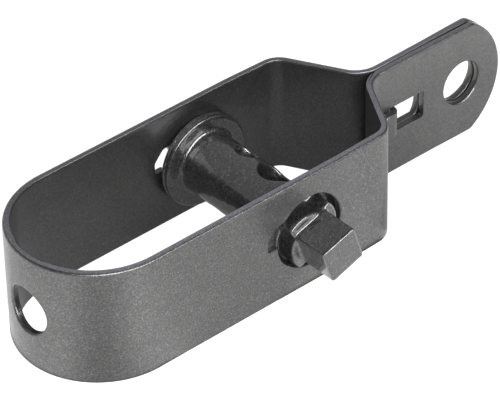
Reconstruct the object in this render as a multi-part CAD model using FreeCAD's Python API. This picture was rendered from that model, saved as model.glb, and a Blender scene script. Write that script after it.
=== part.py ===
import FreeCAD, Part
import math
import os

os.makedirs("parts", exist_ok=True)

V = FreeCAD.Vector

# Fence wire tensioner, all lengths in mm.
# X runs from the crown of the strap to the end of its tongue, Y is the axis of the
# spindle, Z is the width of the strip. The dimensions below are measured from the
# centre of the crown's bend; the finished part is moved so that its origin is the
# middle of the tongue hole, between the two plies.

# Steel strip of 20 mm, measured over its coat, folded once round the crown and closed
# at the tongue.
STRIP_WIDTH = 20.4
STRIP_T = 1.2
STRIP_EDGE = 0.22
CROWN_OUTER_R = 13.65

# Plan of the fold: the walls toe in a little before the corners, the shoulders
# run to the neck, and the two plies of the tongue lie side by side from there.
WALL_TOE_X = 36.0
WALL_TOE_IN = 0.3
CORNER_OUTER_R = 4.0
SHOULDER_ANGLE = 61.0
CORNER_OUTER_X = 46.1
NECK_OUTER_R = 4.2
SOFT_BEND_R = 60.0

# Tongue: the plies meet a little towards the near wall from the middle. Setbacks are
# from the place where both plies have become straight.
PLY_MEET_Y = -0.38
PLY_GAP = 0.05
PLY_SPLAY_SETBACK = 2.45
PLY_SPLAY_DEG = 0.8
TONGUE_LENGTH = 24.9
TONGUE_END_R = 11.8
TONGUE_CORNER_R = 1.5
TONGUE_HOLE_FROM_TIP = 8.2
TONGUE_HOLE_R = 3.75

# Locking tab: lanced from the far ply, passed through the near ply and folded over.
TAB_SETBACK = 0.95
TAB_WIDTH = 4.4
TAB_INNER_R = 0.4
TAB_REACH = 1.8
TAB_ROOT = 0.6
TAB_END_R = 1.0
TAB_SIDE_SLACK = 0.25
TAB_FACE_SLACK = 0.05
WINDOW_SETBACK = 1.25
WINDOW_LENGTH = 7.2
WINDOW_CORNER_R = 0.3
LANCE_LENGTH = 7.6
LANCE_END_R = 4.2

# Wire hole through the crown.
CROWN_HOLE_R = 3.9
HOLE_EDGE = 0.3

# Spindle holes in the two walls, each with one stop notch towards the crown.
SPINDLE_X = 29.4
SPINDLE_HOLE_R = 6.15
NOTCH_TOP = 3.75
NOTCH_MOUTH_RISE = 0.35
NOTCH_BOTTOM = -0.1
NOTCH_SHOULDER = 0.45
NOTCH_DEPTH = 2.05
NOTCH_RAMP_Z = 1.9
NOTCH_CORNER_R = 0.5

# The spindle lies a little low in its loose holes, and towards the crown.
SPINDLE_REST_X = -0.15
SPINDLE_REST_Z = -0.12

# Spindle: a drum between two flanges that run inside the walls.
DRUM_R = 5.15
DRUM_FOOT = 0.55
FLANGE_COVER = 1.68
FLANGE_WALL_GAP = 0.9
FLANGE_T = 1.65
FLANGE_EDGE = 0.25

# Ratchet section in each hole: four teeth with sloped, bowed backs.
RATCHET_TEETH = 4
RATCHET_CLEARANCE = 0.6
RATCHET_MID_DROP = 0.8
RATCHET_ROOT_DROP = 1.6
RATCHET_TIP_ANGLE = 59.0
RATCHET_MID_LAG = 36.0
RATCHET_ROOT_LAG = 75.0
RATCHET_EDGE = 0.2
RATCHET_NEAR_PROUD = 1.35
RATCHET_FAR_PROUD = 0.75

# Square head outside the near wall.
HEAD_SIDE = 6.4
HEAD_LENGTH = 6.4
HEAD_CORNER_R = 0.3
HEAD_ANGLE = 17.7
HEAD_END_EDGE = 0.2

# Cross holes for the wire, both along the direction of a ratchet tooth.
WIRE_HOLE_SMALL_R = 1.95
WIRE_HOLE_SMALL_Y = 3.05
WIRE_HOLE_LARGE_R = 3.0
WIRE_HOLE_LARGE_Y = -3.85
WIRE_HOLE_EDGE = 0.3

# Sizes that follow from those above.
WALL_INNER_Y = CROWN_OUTER_R - STRIP_T
FLANGE_R = SPINDLE_HOLE_R + FLANGE_COVER
FLANGE_OUTER_Y = WALL_INNER_Y - FLANGE_WALL_GAP
FLANGE_INNER_Y = FLANGE_OUTER_Y - FLANGE_T
RATCHET_TIP_R = SPINDLE_HOLE_R - RATCHET_CLEARANCE
RATCHET_NEAR_Y = -CROWN_OUTER_R - RATCHET_NEAR_PROUD
RATCHET_FAR_Y = CROWN_OUTER_R + RATCHET_FAR_PROUD
HEAD_END_Y = RATCHET_NEAR_Y - HEAD_LENGTH
JOIN_DEPTH = 0.3
HALF_T = STRIP_T / 2.0
HALF_W = STRIP_WIDTH / 2.0


def heading(a, b):
    """Unit vector from plan point a to plan point b."""
    d = V(b[0] - a[0], b[1] - a[1], 0)
    d.normalize()
    return d


def offset_path(points, radii, side):
    """Edges of a bent path moved sideways; each radius is the centre line's."""
    edges = []
    last = None
    for i in range(len(points)):
        p = V(points[i][0], points[i][1], 0)
        if i == 0:
            d = heading(points[0], points[1])
            last = p + V(-d.y, d.x, 0) * side
            continue
        d_in = heading(points[i - 1], points[i])
        n_in = V(-d_in.y, d_in.x, 0)
        if i == len(points) - 1:
            edges.append(Part.makeLine(last, p + n_in * side))
            continue
        d_out = heading(points[i], points[i + 1])
        n_out = V(-d_out.y, d_out.x, 0)
        turn = math.atan2(d_in.x * d_out.y - d_in.y * d_out.x, d_in.dot(d_out))
        reach = radii[i] * math.tan(abs(turn) / 2.0)
        a = p - d_in * reach + n_in * side
        b = p + d_out * reach + n_out * side
        left = 1.0 if turn > 0 else -1.0
        centre = p - d_in * reach + n_in * (radii[i] * left)
        r = radii[i] - side * left
        mid_dir = (n_in + n_out)
        mid_dir.normalize()
        mid = centre - mid_dir * (r * left)
        if (a - last).Length > 1e-6:
            edges.append(Part.makeLine(last, a))
        edges.append(Part.Arc(a, mid, b).toShape())
        last = b
    return edges


def bent_strip(points, radii, thickness, width, z_mid=0.0):
    """A strip standing on its edge, bent along a plan path."""
    one = offset_path(points, radii, thickness / 2.0)
    two = offset_path(points, radii, -thickness / 2.0)
    start = Part.makeLine(two[0].Vertexes[0].Point, one[0].Vertexes[0].Point)
    end = Part.makeLine(one[-1].Vertexes[-1].Point, two[-1].Vertexes[-1].Point)
    wire = Part.Wire(Part.__sortEdges__(one + two + [start, end]))
    face = Part.Face(wire)
    face.translate(V(0, 0, z_mid - width / 2.0))
    return face.extrude(V(0, 0, width))


def cylinder_y(x, z, r, y0, y1):
    return Part.makeCylinder(r, y1 - y0, V(x, y0, z), V(0, 1, 0))


def prism_y(points, y0, y1):
    """A polygon in the XZ plane drawn out along Y."""
    ring = [V(x, y0, z) for x, z in points]
    return Part.Face(Part.makePolygon(ring + ring[:1])).extrude(V(0, y1 - y0, 0))


def ends_apart_in_y(edge, least):
    return abs(edge.Vertexes[0].Y - edge.Vertexes[-1].Y) > least


def fillet_where(shape, r, test):
    edges = [e for e in shape.Edges if test(e)]
    return shape.makeFillet(r, edges) if edges else shape


def chamfer_where(shape, size, test):
    edges = [e for e in shape.Edges if test(e)]
    return shape.makeChamfer(size, edges) if edges else shape


def round_steps(size, steps):
    """Offsets along both sides of a corner, as straight steps of a quarter round."""
    out = []
    for i in range(steps + 1):
        a = math.pi / 2.0 * i / steps
        out.append((size * (1.0 - math.sin(a)), size * (1.0 - math.cos(a))))
    return out


def plan_lines():
    """Centre lines of the wall, the two plies and the corner where a shoulder starts."""
    wall_y = CROWN_OUTER_R - HALF_T
    toe_y = wall_y - WALL_TOE_IN
    lean = math.radians(SHOULDER_ANGLE)
    corner_x = CORNER_OUTER_X - math.tan(lean / 2.0) * HALF_T
    near_y = PLY_MEET_Y - PLY_GAP / 2.0 - HALF_T
    far_y = PLY_MEET_Y + PLY_GAP / 2.0 + HALF_T
    near_neck_x = corner_x + (toe_y + near_y) / math.tan(lean)
    far_neck_x = corner_x + (toe_y - far_y) / math.tan(lean)
    return wall_y, toe_y, corner_x, near_y, far_y, near_neck_x, far_neck_x


def tongue_start():
    """X where both plies have become straight."""
    far_neck_x = plan_lines()[-1]
    half_turn = math.radians(SHOULDER_ANGLE) / 2.0
    return far_neck_x + (NECK_OUTER_R + HALF_T) * math.tan(half_turn)


START_X = tongue_start()
TIP_X = START_X + TONGUE_LENGTH
TONGUE_HOLE_X = TIP_X - TONGUE_HOLE_FROM_TIP
SPLAY_X = START_X + PLY_SPLAY_SETBACK
TAB_X = START_X + TAB_SETBACK
WINDOW_X = START_X + WINDOW_SETBACK


def plan_points():
    """Centre line of the strip from the near ply's end round to the far ply's end."""
    wall_y, toe_y, corner_x, near_y, far_y, near_neck_x, far_neck_x = plan_lines()
    end_x = TIP_X + 1.0
    splay = math.tan(math.radians(PLY_SPLAY_DEG)) * (end_x - SPLAY_X)
    r_corner = CORNER_OUTER_R - HALF_T
    r_neck = NECK_OUTER_R + HALF_T
    r_crown = CROWN_OUTER_R - HALF_T
    points = [
        (end_x, near_y),
        (near_neck_x, near_y),
        (corner_x, -toe_y),
        (WALL_TOE_X, -wall_y),
        (-r_crown, -wall_y),
        (-r_crown, wall_y),
        (WALL_TOE_X, wall_y),
        (corner_x, toe_y),
        (far_neck_x, far_y),
        (SPLAY_X, far_y),
        (end_x, far_y + splay),
    ]
    radii = [0, r_neck, r_corner, SOFT_BEND_R, r_crown, r_crown, SOFT_BEND_R, r_corner,
             r_neck, SOFT_BEND_R, 0]
    return points, radii


def tongue_outline():
    """Side view of the strip: straight edges and the rounded end of the tongue."""
    centre_x = TIP_X - TONGUE_END_R
    reach = math.sqrt(TONGUE_END_R ** 2 - HALF_W ** 2)
    band = Part.makeBox(200, 40, STRIP_WIDTH, V(-60, -20, -HALF_W))
    rounded = cylinder_y(centre_x, 0, TONGUE_END_R, -20, 20).common(band)
    straight = Part.makeBox(centre_x + reach + 60, 40, STRIP_WIDTH, V(-60, -20, -HALF_W))
    outline = rounded.fuse(straight).removeSplitter()

    def at_corner(e):
        p = e.CenterOfMass
        beyond = p.x > centre_x + reach - 0.5 and abs(abs(p.z) - HALF_W) < 0.1
        return beyond and ends_apart_in_y(e, 1.0)

    return fillet_where(outline, TONGUE_CORNER_R, at_corner)


def notch_tool(y0, y1):
    """Stop notch beside a spindle hole, square below and ramped above."""
    mouth_z = NOTCH_TOP + NOTCH_MOUTH_RISE
    mouth_x = SPINDLE_X - math.sqrt(SPINDLE_HOLE_R ** 2 - mouth_z ** 2)
    inside_x = SPINDLE_X - SPINDLE_HOLE_R / 2.0
    end_x = SPINDLE_X - SPINDLE_HOLE_R - NOTCH_DEPTH
    shoulder_x = SPINDLE_X - SPINDLE_HOLE_R - NOTCH_SHOULDER
    points = [(inside_x, NOTCH_BOTTOM), (end_x, NOTCH_BOTTOM), (end_x, NOTCH_RAMP_Z),
              (shoulder_x, NOTCH_TOP), (mouth_x, mouth_z), (inside_x, NOTCH_TOP)]
    tool = prism_y(points, y0, y1)

    def deep_corner(e):
        return e.CenterOfMass.x < shoulder_x + 0.1 and ends_apart_in_y(e, 1.0)

    return fillet_where(tool, NOTCH_CORNER_R, deep_corner)


def window_tool(half_height):
    """Rectangular window through the near ply."""
    box = Part.makeBox(WINDOW_LENGTH, 3.0, 2 * half_height,
                       V(WINDOW_X, PLY_MEET_Y - 3.0, -half_height))
    return fillet_where(box, WINDOW_CORNER_R, lambda e: ends_apart_in_y(e, 1.0))


def lance_tool(half_height):
    """Opening that the tab leaves in the far ply, with the round end of the tab."""
    end_x = TAB_X + LANCE_LENGTH
    round_x = end_x - LANCE_END_R
    band = Part.makeBox(LANCE_LENGTH, 3.0, 2 * half_height,
                        V(TAB_X, PLY_MEET_Y, -half_height))
    square = Part.makeBox(round_x - TAB_X, 10, 2 * half_height, V(TAB_X, -5, -half_height))
    return band.common(cylinder_y(round_x, 0, LANCE_END_R, -5, 5).fuse(square))


def make_tab():
    """Tab with its two quarter bends, from the far ply to the near ply's face."""
    far_y = PLY_MEET_Y + PLY_GAP / 2.0 + HALF_T
    over_y = PLY_MEET_Y - PLY_GAP / 2.0 - STRIP_T - TAB_FACE_SLACK - HALF_T
    r = TAB_INNER_R + HALF_T
    end_x = TAB_X - TAB_REACH
    path = [(TAB_X - TAB_ROOT, far_y), (TAB_X + r, far_y), (TAB_X + r, over_y), (end_x, over_y)]
    tab = bent_strip(path, [0, r, r, 0], STRIP_T, TAB_WIDTH)
    return fillet_where(tab, TAB_END_R, lambda e: abs(e.CenterOfMass.x - end_x) < 1e-4
                        and ends_apart_in_y(e, 0.5))


def rim_tool(x, r, face_y, outward):
    """Ring that breaks the rim of a round hole where it meets the face at face_y."""
    ring = [V(x + r + a, face_y - outward * b, 0) for a, b in round_steps(HOLE_EDGE, 2)]
    ring.append(V(x + r - HOLE_EDGE, face_y - outward * HOLE_EDGE, 0))
    ring.append(V(x + r - HOLE_EDGE, face_y + outward, 0))
    ring.append(V(x + r + HOLE_EDGE, face_y + outward, 0))
    return Part.Face(Part.makePolygon(ring + ring[:1])).revolve(V(x, 0, 0), V(0, 1, 0), 360)


def break_hole_rims(strap):
    """Broken outside rims of the spindle holes, the tongue hole and the crown hole."""
    near_face = PLY_MEET_Y - PLY_GAP / 2.0 - STRIP_T
    lean = math.tan(math.radians(PLY_SPLAY_DEG)) * (TONGUE_HOLE_X - SPLAY_X)
    far_face = PLY_MEET_Y + PLY_GAP / 2.0 + STRIP_T + lean
    strap = strap.cut(rim_tool(SPINDLE_X, SPINDLE_HOLE_R, -CROWN_OUTER_R, -1.0))
    strap = strap.cut(rim_tool(SPINDLE_X, SPINDLE_HOLE_R, CROWN_OUTER_R, 1.0))
    strap = strap.cut(rim_tool(TONGUE_HOLE_X, TONGUE_HOLE_R, near_face, -1.0))
    strap = strap.cut(rim_tool(TONGUE_HOLE_X, TONGUE_HOLE_R, far_face, 1.0))

    def crown_rim(e):
        b = e.BoundBox
        outside = b.XMin < -CROWN_OUTER_R + 0.2 and b.XMax < -CROWN_OUTER_R + 1.5
        return outside and abs(b.ZLength - 2 * CROWN_HOLE_R) < 0.1

    return chamfer_where(strap, HOLE_EDGE, crown_rim)


def make_strap():
    points, radii = plan_points()
    strap = bent_strip(points, radii, STRIP_T, STRIP_WIDTH)
    strap = strap.common(tongue_outline()).removeSplitter()

    def long_edge(e):
        heights = [v.Z for v in e.Vertexes] + [e.CenterOfMass.z]
        return all(abs(abs(z) - HALF_W) < 1e-4 for z in heights)

    strap = chamfer_where(strap, STRIP_EDGE, long_edge)
    half_height = TAB_WIDTH / 2.0 + TAB_SIDE_SLACK
    strap = strap.cut(window_tool(half_height)).cut(lance_tool(half_height))
    strap = strap.cut(cylinder_y(TONGUE_HOLE_X, 0, TONGUE_HOLE_R, -5, 5))
    strap = strap.cut(Part.makeCylinder(CROWN_HOLE_R, 2 * CROWN_OUTER_R,
                                        V(-2 * CROWN_OUTER_R, 0, 0), V(1, 0, 0)))
    reach_y = CROWN_OUTER_R + 5.0
    strap = strap.cut(cylinder_y(SPINDLE_X, 0, SPINDLE_HOLE_R, -reach_y, reach_y))
    strap = strap.cut(notch_tool(-reach_y, reach_y))
    strap = strap.fuse(make_tab()).removeSplitter()
    return break_hole_rims(strap)


def polar(r, deg, y):
    a = math.radians(deg)
    return V(SPINDLE_X + r * math.cos(a), y, r * math.sin(a))


def ratchet(inner_y, end_y):
    """Ratchet section: bowed backs that fall clockwise, steep faces between."""
    pitch = 360.0 / RATCHET_TEETH
    edges = []
    for k in range(RATCHET_TEETH):
        tip = RATCHET_TIP_ANGLE + k * pitch
        top = polar(RATCHET_TIP_R, tip, inner_y)
        mid = polar(RATCHET_TIP_R - RATCHET_MID_DROP, tip - RATCHET_MID_LAG, inner_y)
        foot = polar(RATCHET_TIP_R - RATCHET_ROOT_DROP, tip - RATCHET_ROOT_LAG, inner_y)
        edges.append(Part.Arc(top, mid, foot).toShape())
        edges.append(Part.makeLine(foot, polar(RATCHET_TIP_R, tip - pitch, inner_y)))
    wire = Part.Wire(Part.__sortEdges__(edges))
    body = Part.Face(wire).extrude(V(0, end_y - inner_y, 0))
    return chamfer_where(body, RATCHET_EDGE, lambda e: abs(e.BoundBox.YMin - end_y) < 1e-4
                         and e.BoundBox.YLength < 1e-4)


def drum_profile():
    """Section of the drum and its flanges, as radius and Y, from end to end."""
    half = [(DRUM_R + b, FLANGE_INNER_Y - a) for a, b in round_steps(DRUM_FOOT, 3)]
    half += [(FLANGE_R - a, FLANGE_INNER_Y + b) for a, b in round_steps(FLANGE_EDGE, 2)]
    half += [(FLANGE_R - b, FLANGE_OUTER_Y - a) for a, b in round_steps(FLANGE_EDGE, 2)]
    half.append((0, FLANGE_OUTER_Y))
    return [(r, -y) for r, y in reversed(half)] + half


def make_head():
    """Square head, turned a little against the strip."""
    h = HEAD_SIDE / 2.0
    length = RATCHET_NEAR_Y - HEAD_END_Y + JOIN_DEPTH
    head = Part.makeBox(HEAD_SIDE, length, HEAD_SIDE, V(SPINDLE_X - h, HEAD_END_Y, -h))
    head = fillet_where(head, HEAD_CORNER_R, lambda e: ends_apart_in_y(e, 1.0))
    head = chamfer_where(head, HEAD_END_EDGE, lambda e: e.BoundBox.YMax < HEAD_END_Y + 1e-4)
    head.rotate(V(SPINDLE_X, 0, 0), V(0, 1, 0), -HEAD_ANGLE)
    return head


def make_spindle():
    ring = [V(SPINDLE_X + r, y, 0) for r, y in drum_profile()]
    face = Part.Face(Part.makePolygon(ring + ring[:1]))
    drum = face.revolve(V(SPINDLE_X, 0, 0), V(0, 1, 0), 360)

    a = math.radians(RATCHET_TIP_ANGLE)
    d = V(math.cos(a), 0, math.sin(a))
    holes = ((WIRE_HOLE_SMALL_Y, WIRE_HOLE_SMALL_R), (WIRE_HOLE_LARGE_Y, WIRE_HOLE_LARGE_R))
    for y, r in holes:
        start = V(SPINDLE_X, y, 0) - d * (2 * DRUM_R)
        drum = drum.cut(Part.makeCylinder(r, 4 * DRUM_R, start, d))

    def hole_rim(e):
        b = e.BoundBox
        across = [abs(b.Center.y - y) < 0.2 and abs(b.YLength - 2 * r) < 0.2 for y, r in holes]
        return any(across) and not isinstance(e.Curve, Part.Line)

    drum = chamfer_where(drum, WIRE_HOLE_EDGE, hole_rim)
    near = ratchet(-FLANGE_OUTER_Y + JOIN_DEPTH, RATCHET_NEAR_Y)
    far = ratchet(FLANGE_OUTER_Y - JOIN_DEPTH, RATCHET_FAR_Y)
    spindle = drum.fuse([near, far, make_head()]).removeSplitter()
    spindle.translate(V(SPINDLE_REST_X, 0, SPINDLE_REST_Z))
    return spindle


def main():
    shapes = (("strap_body", make_strap()), ("spindle", make_spindle()))
    for name, shape in shapes:
        if len(shape.Solids) != 1 or not shape.isValid():
            raise RuntimeError(name + " is not one valid solid")
        solid = shape.Solids[0]
        solid.translate(V(-TONGUE_HOLE_X, -PLY_MEET_Y, 0))
        solid.exportStep("parts/" + name + ".step")


main()
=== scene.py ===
import math

import bmesh
import bpy
from mathutils import Matrix, Vector, noise
from mathutils.bvhtree import BVHTree


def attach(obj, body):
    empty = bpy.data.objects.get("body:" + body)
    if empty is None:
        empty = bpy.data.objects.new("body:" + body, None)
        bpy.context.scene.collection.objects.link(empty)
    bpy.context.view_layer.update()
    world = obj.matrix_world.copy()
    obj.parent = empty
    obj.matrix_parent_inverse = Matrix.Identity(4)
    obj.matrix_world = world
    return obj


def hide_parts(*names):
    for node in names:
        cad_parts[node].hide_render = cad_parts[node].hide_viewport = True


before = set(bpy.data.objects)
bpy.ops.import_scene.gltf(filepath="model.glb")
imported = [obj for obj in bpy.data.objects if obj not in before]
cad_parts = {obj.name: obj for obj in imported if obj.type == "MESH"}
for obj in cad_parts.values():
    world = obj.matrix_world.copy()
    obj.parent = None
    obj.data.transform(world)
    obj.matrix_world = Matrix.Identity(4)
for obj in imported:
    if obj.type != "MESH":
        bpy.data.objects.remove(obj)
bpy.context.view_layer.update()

MM = 0.001

# Fence wire tensioner. The part stands on the lower edges of its strip; +X runs to the
# end of the tongue, +Y along the spindle away from its square head. Places and lengths are
# in millimetres unless a name or a comment says otherwise.
HALF_WIDTH = 10.2
CROWN_X = -72.2056
SPINDLE_X = CROWN_X + 29.4
SPINDLE_Y = 0.38
WALL_INNER = 12.45

# Camera: angles of the view in degrees, the point that it looks at, and its distance.
CAM_AZIMUTH = -40.25
CAM_ELEVATION = 37.557
CAM_ROLL = -1.191
CAM_TARGET = (-44.539, -1.651, 0.0)
CAM_DISTANCE = 512.44
CAM_LENS = 244.8
CAM_SENSOR = 36.0


# ---------------------------------------------------------------- node helpers
def new_material(name):
    mat = bpy.data.materials.new(name)
    mat.use_nodes = True
    tree = mat.node_tree
    tree.nodes.clear()
    return mat, tree


def show(tree, shader):
    """Makes a shader the surface of its material."""
    out = tree.nodes.new("ShaderNodeOutputMaterial")
    tree.links.new(shader.outputs[0], out.inputs["Surface"])


def millimetres(tree):
    """Object coordinates in millimetres, so that every scale below is one over a size in mm."""
    coords = tree.nodes.new("ShaderNodeTexCoord")
    scaled = tree.nodes.new("ShaderNodeVectorMath")
    scaled.operation = "SCALE"
    scaled.inputs["Scale"].default_value = 1.0 / MM
    tree.links.new(coords.outputs["Object"], scaled.inputs[0])
    return scaled.outputs[0]


def axes(tree, vector):
    """The outputs X, Y and Z of a vector."""
    split = tree.nodes.new("ShaderNodeSeparateXYZ")
    tree.links.new(vector, split.inputs[0])
    return split.outputs


def maths(tree, operation, a, b=None, clamp=False):
    node = tree.nodes.new("ShaderNodeMath")
    node.operation = operation
    node.use_clamp = clamp
    for slot, value in enumerate((a, b)):
        if value is None:
            continue
        if isinstance(value, (int, float)):
            node.inputs[slot].default_value = value
        else:
            tree.links.new(value, node.inputs[slot])
    return node.outputs[0]


def part_way(tree, value, start, end):
    """How far a value is on its way from start to end, kept between 0 and 1."""
    return maths(tree, "DIVIDE", maths(tree, "SUBTRACT", value, start), end - start, clamp=True)


def ramp(tree, source, stops):
    """The tones of the stops, blended by a value from 0 to 1; a tone is a grey or a colour."""
    node = tree.nodes.new("ShaderNodeValToRGB")
    elements = node.color_ramp.elements
    while len(elements) < len(stops):
        elements.new(0.5)
    for element, (place, tone) in zip(elements, stops):
        colour = (tone,) * 3 if isinstance(tone, float) else tone
        element.position = place
        element.color = (*colour, 1.0)
    tree.links.new(source, node.inputs["Fac"])
    return node.outputs["Color"]


def mix_colour(tree, factor, a, b, blend="MIX"):
    node = tree.nodes.new("ShaderNodeMix")
    node.data_type = "RGBA"
    node.blend_type = blend
    for socket, value in (("Factor", factor), ("A", a), ("B", b)):
        slot = [s for s in node.inputs if s.name == socket and s.enabled][0]
        if isinstance(value, (int, float)):
            slot.default_value = value
        elif isinstance(value, tuple):
            slot.default_value = (*value, 1.0)
        else:
            tree.links.new(value, slot)
    return [s for s in node.outputs if s.enabled][0]


def noise_at(tree, where, size_mm, detail=2.0):
    node = tree.nodes.new("ShaderNodeTexNoise")
    node.inputs["Scale"].default_value = 1.0 / size_mm
    node.inputs["Detail"].default_value = detail
    tree.links.new(where, node.inputs["Vector"])
    return node.outputs["Fac"]


def flakes_at(tree, where, size_mm):
    """A random value for each flake."""
    node = tree.nodes.new("ShaderNodeTexVoronoi")
    node.inputs["Scale"].default_value = 1.0 / size_mm
    tree.links.new(where, node.inputs["Vector"])
    return node.outputs["Color"]


# ---------------------------------------------------------------- materials
# How the random value of a flake becomes its share of the way from dark to light.
FLAKE_SPREAD = [(0.0, 0.0), (0.5, 0.25), (0.78, 0.5), (0.92, 1.0), (1.0, 1.0)]

# Slow changes of tone over a coat: size, then the tints at the low and high end of a noise.
DRIFTS = [
    (0.35, 0.88, 1.12),
    (2.4, (0.965, 0.975, 0.985), (1.035, 1.025, 1.015)),
    (9.0, 0.96, 1.04),
]
DRIFT_NOISE_ENDS = (0.32, 0.68)

ROUGHNESS_SIZE = 1.3
ROUGHNESS_DETAIL = 3.0
ROUGHNESS_NOISE_ENDS = (0.3, 0.7)

# The lighter sheared edges, partly their own lighter tone and partly painted light that is
# stronger on the near wall: how deep they go, and where they have the near and far tint.
EDGE_DEPTH = 0.06
EDGE_NEAR_Y = -14.0
EDGE_FAR_Y = 12.0

# A radius round the crown's middle that lies inside the thickness of the strip.
WITHIN_STRIP_R = WALL_INNER + 0.5


def drifting(tree, where, colour, size_mm, low, high):
    """The colour multiplied by a slow noise between two tints."""
    stops = list(zip(DRIFT_NOISE_ENDS, (low, high)))
    tint = ramp(tree, noise_at(tree, where, size_mm), stops)
    return mix_colour(tree, 1.0, colour, tint, "MULTIPLY")


def painted_glint_mask(tree, where):
    """1 on the outer faces of the walls and the crown, where the flakes carry painted glints, 0
    inside the fold and on the tongue.
    """
    at = axes(tree, where)
    past_crown = maths(tree, "MINIMUM", maths(tree, "SUBTRACT", at["X"], CROWN_X), 0.0)
    across = maths(tree, "SUBTRACT", at["Y"], SPINDLE_Y)
    squares = maths(tree, "ADD", maths(tree, "MULTIPLY", past_crown, past_crown),
                    maths(tree, "MULTIPLY", across, across))
    return maths(tree, "GREATER_THAN", maths(tree, "SQRT", squares), WITHIN_STRIP_R)


def with_edge_tone_and_painted_light(tree, where, colour, edge_tone_and_painted_light):
    """The colour with a tint on the sheared edges, partly their own lighter tone and partly
    painted light, which changes from the near to the far wall.
    """
    at = axes(tree, where)
    height = maths(tree, "ABSOLUTE", at["Z"])
    at_edge = maths(tree, "GREATER_THAN", height, HALF_WIDTH - EDGE_DEPTH)
    to_far = part_way(tree, at["Y"], EDGE_NEAR_Y, EDGE_FAR_Y)
    tint = ramp(tree, to_far, list(zip((0.0, 1.0), edge_tone_and_painted_light)))
    tinted = mix_colour(tree, 1.0, colour, tint, "MULTIPLY")
    return mix_colour(tree, at_edge, colour, tinted)


def coat_material(name, base, flakes, metallic, rough, gloss, bumps, soft_edge,
                  edge_tone_and_painted_light=None, inside_without_painted_glints=None):
    """Powder coat with fine metallic flakes over metal; all sizes are in millimetres.

    flakes is size, dark and light factor; rough is the lowest and highest roughness; gloss
    is weight, IOR and roughness of the clear coat; bumps is size and height of the coat's
    waves, then of the grain under it; edge_tone_and_painted_light is the tint of the sheared
    edges on the near and on the far side, partly their own lighter tone and partly painted
    light; inside_without_painted_glints is the dark and light factor of the flakes away from
    the outer faces, where the stronger flecks are painted glints.
    """
    mat, tree = new_material(name)
    where = millimetres(tree)
    flake_mm, *flake_factors = flakes
    spread = ramp(tree, flakes_at(tree, where, flake_mm), FLAKE_SPREAD)

    def flecked(factors):
        dark, light = (tuple(c * factor for c in base) for factor in factors)
        return mix_colour(tree, spread, dark, light)

    colour = flecked(flake_factors)
    # Painted glints: the outer faces keep the stronger flecks, while inside the fold and on the
    # tongue the flecks are calmer, as if less lit.
    if inside_without_painted_glints:
        colour = mix_colour(tree, painted_glint_mask(tree, where), flecked(inside_without_painted_glints), colour)
    for drift in DRIFTS:
        colour = drifting(tree, where, colour, *drift)
    # Painted light on the sheared edges, on top of their own lighter tone: the tint is stronger on
    # the near wall than on the far one.
    if edge_tone_and_painted_light:
        colour = with_edge_tone_and_painted_light(tree, where, colour, edge_tone_and_painted_light)

    shader = tree.nodes.new("ShaderNodeBsdfPrincipled")
    tree.links.new(colour, shader.inputs["Base Color"])
    shader.inputs["Metallic"].default_value = metallic
    patches = noise_at(tree, where, ROUGHNESS_SIZE, ROUGHNESS_DETAIL)
    roughness = ramp(tree, patches, list(zip(ROUGHNESS_NOISE_ENDS, rough)))
    tree.links.new(roughness, shader.inputs["Roughness"])
    for socket, value in zip(("Coat Weight", "Coat IOR", "Coat Roughness"), gloss):
        shader.inputs[socket].default_value = value

    soft = tree.nodes.new("ShaderNodeBevel")
    soft.samples = 6
    soft.inputs["Radius"].default_value = soft_edge * MM
    normal = soft.outputs["Normal"]
    for (size_mm, rise), into in zip(bumps, ("Coat Normal", "Normal")):
        bump = tree.nodes.new("ShaderNodeBump")
        bump.inputs["Strength"].default_value = 1.0
        bump.inputs["Distance"].default_value = rise * MM
        tree.links.new(noise_at(tree, where, size_mm), bump.inputs["Height"])
        tree.links.new(normal, bump.inputs["Normal"])
        normal = bump.outputs["Normal"]
        tree.links.new(normal, shader.inputs[into])

    show(tree, shader)
    return mat


# Painted light on the strap's coat: the tint of its sheared edges is stronger on the near wall,
# and the stronger flecks of its outer faces are painted glints.
strap_coat = coat_material(
    "strap_coat", base=(0.1140, 0.1134, 0.1130), flakes=(0.16, 0.72, 1.85), metallic=0.92,
    rough=(0.34, 0.42), gloss=(0.35, 1.5, 0.12), bumps=[(0.9, 0.02), (0.24, 0.030)],
    soft_edge=0.15, edge_tone_and_painted_light=((3.30, 3.22, 3.60), (1.72, 1.70, 1.84)),
    inside_without_painted_glints=(0.88, 1.42))
spindle_coat = coat_material(
    "spindle_coat", base=(0.053, 0.051, 0.053), flakes=(0.19, 0.55, 3.8), metallic=0.86,
    rough=(0.36, 0.46), gloss=(1.0, 1.78, 0.08), bumps=[(1.3, 0.02), (0.24, 0.06)],
    soft_edge=0.10)


# ---------------------------------------------------------------- meshes
WELD_DISTANCE = 0.0005
SAME_PLANE = math.radians(0.5)


def copy_in_mm(node, name, reshape=None):
    """A welded copy of a CAD node in millimetres, with flat areas as single faces."""
    bm = bmesh.new()
    bm.from_mesh(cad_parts[node].data)
    bmesh.ops.scale(bm, vec=(1.0 / MM,) * 3, verts=bm.verts)
    bmesh.ops.remove_doubles(bm, verts=bm.verts, dist=WELD_DISTANCE)
    bmesh.ops.dissolve_limit(bm, angle_limit=SAME_PLANE, verts=bm.verts, edges=bm.edges)
    if reshape:
        reshape(bm)
    mesh = bpy.data.meshes.new(name + "_mm")
    bm.to_mesh(mesh)
    bm.free()
    obj = bpy.data.objects.new(name + "_mm", mesh)
    bpy.context.scene.collection.objects.link(obj)
    return obj


def add_modifier(obj, kind, **values):
    mod = obj.modifiers.new(kind.lower(), kind)
    for key, value in values.items():
        setattr(mod, key, value)


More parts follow.
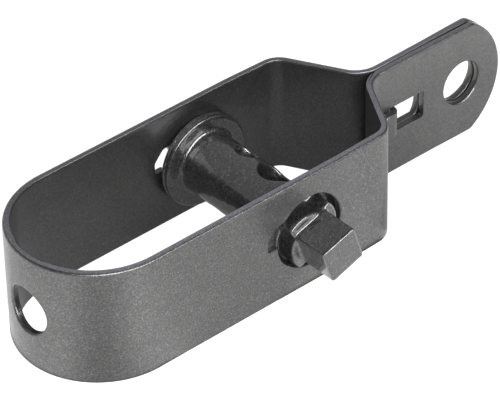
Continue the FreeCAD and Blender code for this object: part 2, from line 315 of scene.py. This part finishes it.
def settle(obj, name):
    """The object with its modifiers applied, still in millimetres, under its final name."""
    graph = bpy.context.evaluated_depsgraph_get()
    mesh = bpy.data.meshes.new_from_object(obj.evaluated_get(graph))
    mesh.name = name
    bpy.data.objects.remove(obj)
    done = bpy.data.objects.new(name, mesh)
    bpy.context.scene.collection.objects.link(done)
    return done


def finish_piece(obj, material):
    """Turns a piece back to metres and gives it smooth faces and its coat."""
    mesh = obj.data
    for polygon in mesh.polygons:
        polygon.use_smooth = True
    mesh.transform(Matrix.Scale(MM, 4))
    mesh.update()
    mesh.materials.clear()
    mesh.materials.append(material)


# The small flats along the strip's long edges: on the outside the corner is rolled over,
# on the inside it is crisp. Both fade out along the tongue, before its round end.
FLAT_WIDTH = 0.22
ROLLED_WIDTH = 0.30
CRISP_WIDTH = 0.10
FADE_FROM_X = -6.0
FADE_TO_X = -1.5

# How a flat is told from other faces: it slopes by 45 degrees, close to the strip's edge.
FLAT_SLOPE = (0.6, 0.8)
FLAT_REACH = 0.24
EDGE_REACH = 0.3
ON_EDGE = 0.01

# The outside is told by a look sideways: how deep below the edge it starts, how far in
# front of the flat, and how far it goes.
LOOK_DEPTH = 1.0
LOOK_START = 0.4
LOOK_LENGTH = 60.0

# The bevel of an edge takes this share of the flat's width, so that the two never overlap.
BEVEL_WIDTH = 0.21
BEVEL_SHARE = 0.70
SHARP_ANGLE = math.radians(30)


def flat_width(x, wanted):
    """How wide a flat is at a place along the strip."""
    fade = (FADE_TO_X - x) / (FADE_TO_X - FADE_FROM_X)
    return FLAT_WIDTH + (wanted - FLAT_WIDTH) * min(max(fade, 0.0), 1.0)


def bevel_weight(width):
    """The bevel weight of an edge beside a flat of this width."""
    return BEVEL_SHARE * width / BEVEL_WIDTH


def level_direction(face):
    """The direction that a face looks in, without its slope."""
    return Vector((face.normal.x, face.normal.y, 0.0)).normalized()


def looks_out(face, tree):
    """Whether a flat on the strip's edge belongs to the outside of the fold."""
    sideways = level_direction(face)
    middle = face.calc_center_median()
    height = math.copysign(HALF_WIDTH - LOOK_DEPTH, middle.z)
    start = Vector((middle.x, middle.y, height)) + sideways * LOOK_START
    return tree.ray_cast(start, sideways, LOOK_LENGTH)[0] is None


def is_flat(face):
    least, most = FLAT_SLOPE
    return (least < abs(face.normal.z) < most
            and all(abs(v.co.z) > HALF_WIDTH - FLAT_REACH for v in face.verts))


def cut_long_edges(bm, x):
    """Cuts the strip's sheared edges and flats across at a place along the strip."""
    verts = [v for v in bm.verts if abs(v.co.z) > HALF_WIDTH - EDGE_REACH]
    inside = set(verts)
    edges = [e for e in bm.edges if inside.issuperset(e.verts)]
    faces = [f for f in bm.faces if inside.issuperset(f.verts)]
    bmesh.ops.bisect_plane(bm, geom=verts + edges + faces, dist=WELD_DISTANCE,
                           plane_co=(x, 0.0, 0.0), plane_no=(1.0, 0.0, 0.0))


def shape_long_edges(bm):
    """Sets the width of the flats, and the bevel weights that round them off."""
    for x in (FADE_FROM_X, FADE_TO_X):
        cut_long_edges(bm, x)
    bm.normal_update()
    tree = BVHTree.FromBMesh(bm)
    weights = bm.edges.layers.float.new("bevel_weight_edge")
    for edge in bm.edges:
        if len(edge.link_faces) == 2 and edge.calc_face_angle(0.0) > SHARP_ANGLE:
            edge[weights] = bevel_weight(FLAT_WIDTH)
    shifts = {}
    for face in filter(is_flat, bm.faces):
        wanted = ROLLED_WIDTH if looks_out(face, tree) else CRISP_WIDTH
        sideways = level_direction(face)
        for v in face.verts:
            shifts[v] = (wanted, shifts.get(v, (0.0, Vector()))[1] + sideways)
        for edge in face.edges:
            if edge[weights] > 0.0:
                x = max(v.co.x for v in edge.verts)
                edge[weights] = bevel_weight(flat_width(x, wanted))
    for v, (wanted, sideways) in shifts.items():
        more = flat_width(v.co.x, wanted) - FLAT_WIDTH
        if abs(v.co.z) > HALF_WIDTH - ON_EDGE:
            v.co -= sideways.normalized() * more
        else:
            v.co.z -= math.copysign(more, v.co.z)


def build_strap():
    """The folded strip with its sheared edges and punched rims rounded over."""
    rough = copy_in_mm("strap_body", "strap", shape_long_edges)
    add_modifier(rough, "BEVEL", width=BEVEL_WIDTH, segments=3, limit_method="WEIGHT",
                 harden_normals=False, use_clamp_overlap=False)
    strap = settle(rough, "strap_folded")
    finish_piece(strap, strap_coat)
    add_modifier(strap, "WEIGHTED_NORMAL", weight=50, keep_sharp=False)
    return strap


# The uneven cast skin: how many slow and quick waves there are to a millimetre, how high
# they are, and how much the skin sinks in so that it stays within the part's size.
SLOW_WAVES = 0.45
SLOW_HEIGHT = 0.035
QUICK_WAVES = 1.3
QUICK_HEIGHT = 0.014
SKIN_SINKS = 0.02

# The shallow cast groove round the rim of each flange, in the middle of its thickness.
AXIS_X = SPINDLE_X - 0.15
AXIS_Z = -0.12
GROOVE_FROM_MIDDLE = 10.80
GROOVE_HALF_WIDTH = 0.30
GROOVE_DEPTH = 0.24
RIM_INNER_R = 7.0


def cast_offset(p):
    """How far the cast skin stands in or out at a point."""
    slow = noise.noise(Vector((p.x * SLOW_WAVES, p.y * SLOW_WAVES + 7.0, p.z * SLOW_WAVES)))
    quick = noise.noise(Vector((p.x * QUICK_WAVES + 3.0, p.y * QUICK_WAVES, p.z * QUICK_WAVES)))
    return SLOW_HEIGHT * slow + QUICK_HEIGHT * quick - SKIN_SINKS


def groove_shift(p):
    """Shift towards the axis that makes the groove at a point of the rims."""
    outward = Vector((p.x - AXIS_X, 0.0, p.z - AXIS_Z))
    along = (abs(p.y - SPINDLE_Y) - GROOVE_FROM_MIDDLE) / GROOVE_HALF_WIDTH
    if outward.length < RIM_INNER_R or abs(along) > 1.0:
        return Vector()
    return outward.normalized() * (-GROOVE_DEPTH * (0.5 + 0.5 * math.cos(math.pi * along)))


def build_spindle():
    """The cast spindle: softened edges, grooved rims and a slightly uneven skin."""
    rough = copy_in_mm("spindle", "spindle")
    add_modifier(rough, "REMESH", mode="VOXEL", voxel_size=0.165, adaptivity=0.0)
    add_modifier(rough, "SMOOTH", factor=0.5, iterations=6)
    spindle = settle(rough, "spindle_cast")
    mesh = spindle.data
    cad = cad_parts["spindle"].data
    normals = [v.normal.copy() for v in mesh.vertices]
    lowest = [min(v.co[k] for v in cad.vertices) / MM for k in range(3)]
    highest = [max(v.co[k] for v in cad.vertices) / MM for k in range(3)]
    for vertex, normal in zip(mesh.vertices, normals):
        vertex.co += normal * cast_offset(vertex.co) + groove_shift(vertex.co)
        for k in range(3):
            vertex.co[k] = min(max(vertex.co[k], lowest[k]), highest[k])
    finish_piece(spindle, spindle_coat)
    return spindle


strap = build_strap()
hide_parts("strap_body")
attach(strap, "strap")

spindle = build_spindle()
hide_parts("spindle")
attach(spindle, "spindle")


# ---------------------------------------------------------------- stage
FLOOR_GLOW = 0.97
FLOOR_HALF = 3000
CARD_ABOVE_FLOOR = 0.05

# The card inside the strap: the radius round its crown, the steps of its bend, and the
# places along X where its sides end and where it comes to a point.
CARD_R = 14.2
CARD_STEPS = 24
CARD_SIDES_END_X = -27.5
CARD_POINT_X = -20.0

# The fan round the outside of the crown, a painted reflection: angle and glow of its
# bands. Angles are counted from the -X side towards the near wall, in degrees.
CROWN_GLOW = [(-60.0, 1.0), (-40.0, 1.30), (0.0, 1.45), (20.0, 1.65), (33.0, 1.25),
              (46.0, 0.90), (58.0, 0.92), (70.0, 1.20), (86.0, 1.60), (102.0, 1.60),
              (120.0, 1.15), (150.0, 1.0)]
# The tones of the fan's ramp stay under 1 when the glow is divided by this.
GLOW_RANGE = 2.0
FAN_INNER_R = 14.3
FAN_OUTER_R = 60.0
FAN_FROM = -60
FAN_TO = 150
FAN_STEP = 6

# The point in the part that the soft boxes face, in metres.
LIGHT_AIM = (-0.045, 0.0, 0.0)


def flat_shape(name, ring, height_mm, material):
    """A flat stage card; its outline is given in millimetres."""
    mesh = bpy.data.meshes.new(name)
    verts = [(x * MM, y * MM, height_mm * MM) for x, y in ring]
    mesh.from_pydata(verts, [], [tuple(range(len(ring)))])
    mesh.materials.append(material)
    obj = bpy.data.objects.new(name, mesh)
    bpy.context.scene.collection.objects.link(obj)
    return obj


def flat_card(name, ring, material):
    """A card just above the floor that only shows in reflections."""
    card = flat_shape(name, ring, -HALF_WIDTH + CARD_ABOVE_FLOOR, material)
    card.visible_camera = False
    card.visible_shadow = False


def round_crown(radius, angle):
    """A point round the middle of the crown's bend; the angle is counted from +X in degrees."""
    a = math.radians(angle)
    return CROWN_X + radius * math.cos(a), SPINDLE_Y + radius * math.sin(a)


def floor_material():
    mat, tree = new_material("floor_white")
    shader = tree.nodes.new("ShaderNodeBsdfPrincipled")
    shader.inputs["Base Color"].default_value = (0.3, 0.3, 0.3, 1.0)
    shader.inputs["Roughness"].default_value = 0.9
    shader.inputs["Specular IOR Level"].default_value = 0.1
    shader.inputs["Emission Color"].default_value = (1.0, 1.0, 1.0, 1.0)
    shader.inputs["Emission Strength"].default_value = FLOOR_GLOW
    show(tree, shader)
    return mat


def show_glow(tree, level):
    """Makes the surface of a material glow at a level."""
    shader = tree.nodes.new("ShaderNodeEmission")
    tree.links.new(level, shader.inputs["Strength"])
    show(tree, shader)


def card_material(name, left, right, x_left, x_right):
    """A card whose glow goes from left to right between two places along X."""
    mat, tree = new_material(name)
    along = part_way(tree, axes(tree, millimetres(tree))["X"], x_left, x_right)
    level = maths(tree, "ADD", left, maths(tree, "MULTIPLY", along, right - left))
    show_glow(tree, level)
    return mat


def crown_card_material():
    """A glow that changes with the direction from the middle of the crown's bend."""
    mat, tree = new_material("reflection_card_crown")
    at = axes(tree, millimetres(tree))
    leftwards = maths(tree, "SUBTRACT", CROWN_X, at["X"])
    nearwards = maths(tree, "SUBTRACT", SPINDLE_Y, at["Y"])
    angle = maths(tree, "ARCTAN2", nearwards, leftwards)
    degrees = maths(tree, "MULTIPLY", angle, 180.0 / math.pi)
    first, last = CROWN_GLOW[0][0], CROWN_GLOW[-1][0]
    stops = [((band - first) / (last - first), glow / GLOW_RANGE) for band, glow in CROWN_GLOW]
    tone = ramp(tree, part_way(tree, degrees, first, last), stops)
    show_glow(tree, maths(tree, "MULTIPLY", tone, GLOW_RANGE))
    return mat


floor_ring = [(-FLOOR_HALF, -FLOOR_HALF), (FLOOR_HALF, -FLOOR_HALF),
              (FLOOR_HALF, FLOOR_HALF), (-FLOOR_HALF, FLOOR_HALF)]
flat_shape("floor", floor_ring, -HALF_WIDTH, floor_material())

# A dim card under the strap paints shade into the reflections: it keeps the bright floor out of
# the reflections inside the strap and along its lower edges, as if the floor there were shaded.
card_ring = [round_crown(CARD_R, 90.0 + 180.0 * k / CARD_STEPS) for k in range(CARD_STEPS + 1)]
card_ring += [(CARD_SIDES_END_X, SPINDLE_Y - CARD_R), (CARD_POINT_X, SPINDLE_Y),
              (CARD_SIDES_END_X, SPINDLE_Y + CARD_R)]
flat_card("shade_card_inside", card_ring, card_material("shade_card_inside", 0.60, 0.26, -82.0, -50.0))

# Another card paints shade where the face of the tongue looks at the floor: it dims the floor a
# little in the tongue's reflection.
tongue_ring = [(-25.0, -1.3), (-25.0, -17.0), (18.0, -17.0), (18.0, -1.3)]
flat_card("shade_card_tongue", tongue_ring, card_material("shade_card_tongue", 0.68, 1.0, -15.0, 4.0))

# The fan is a painted reflection: it gives the outside of the crown its lighter and darker bands.
fan_ring = [round_crown(FAN_OUTER_R, 180.0 + degree)
            for degree in range(FAN_FROM, FAN_TO + 1, FAN_STEP)]
fan_ring += [round_crown(FAN_INNER_R, 180.0 + degree)
             for degree in range(FAN_TO, FAN_FROM - 1, -FAN_STEP)]
flat_card("reflection_card_crown", fan_ring, crown_card_material())


def soft_box(name, towards, distance, size, radiance):
    """Soft box seen from the part in the direction towards; radiance against a white of 1."""
    data = bpy.data.lights.new(name, "AREA")
    data.shape = "RECTANGLE"
    data.size, data.size_y = size
    data.energy = radiance * math.pi * size[0] * size[1]
    obj = bpy.data.objects.new(name, data)
    direction = Vector(towards).normalized()
    obj.location = Vector(LIGHT_AIM) + direction * distance
    obj.rotation_euler = direction.to_track_quat("Z", "Y").to_euler()
    bpy.context.scene.collection.objects.link(obj)


# Distances and sizes of the soft boxes are in metres.
soft_box("key_front", (-0.12, -0.78, 0.60), 0.9, (1.3, 0.36), 11.5)
soft_box("front_right", (0.54, -0.60, 0.60), 1.0, (0.25, 0.20), 0.8)


def studio_world():
    """A dim room with a broad soft wall of light at the back."""
    world = bpy.data.worlds.new("studio")
    world.use_nodes = True
    tree = world.node_tree
    tree.nodes.clear()
    coords = tree.nodes.new("ShaderNodeTexCoord")
    backwards = axes(tree, coords.outputs["Generated"])["Y"]
    level = ramp(tree, backwards, [(0.0, 0.10), (0.25, 0.13), (0.6, 0.42), (1.0, 0.42)])
    background = tree.nodes.new("ShaderNodeBackground")
    tree.links.new(level, background.inputs["Color"])
    background.inputs["Strength"].default_value = 1.0
    out = tree.nodes.new("ShaderNodeOutputWorld")
    tree.links.new(background.outputs["Background"], out.inputs["Surface"])
    return world


bpy.context.scene.world = studio_world()
bpy.context.scene.view_settings.view_transform = "Standard"
bpy.context.scene.view_settings.look = "None"


# ---------------------------------------------------------------- camera
def place_camera():
    azimuth, elevation, roll = (math.radians(v) for v in (CAM_AZIMUTH, CAM_ELEVATION, CAM_ROLL))
    back = Vector((math.sin(azimuth) * math.cos(elevation),
                   -math.cos(azimuth) * math.cos(elevation), math.sin(elevation)))
    right = Vector((math.cos(azimuth), math.sin(azimuth), 0.0))
    up = back.cross(right)
    turned_right = right * math.cos(roll) + up * math.sin(roll)
    turned_up = up * math.cos(roll) - right * math.sin(roll)
    data = bpy.data.cameras.new("camera")
    data.sensor_width = CAM_SENSOR
    data.lens = CAM_LENS
    data.clip_start = 0.01
    data.clip_end = 20.0
    camera = bpy.data.objects.new("camera", data)
    turn = Matrix((turned_right, turned_up, back)).transposed().to_4x4()
    place = (Vector(CAM_TARGET) + back * CAM_DISTANCE) * MM
    camera.matrix_world = Matrix.Translation(place) @ turn
    bpy.context.scene.collection.objects.link(camera)
    bpy.context.scene.camera = camera


place_camera()
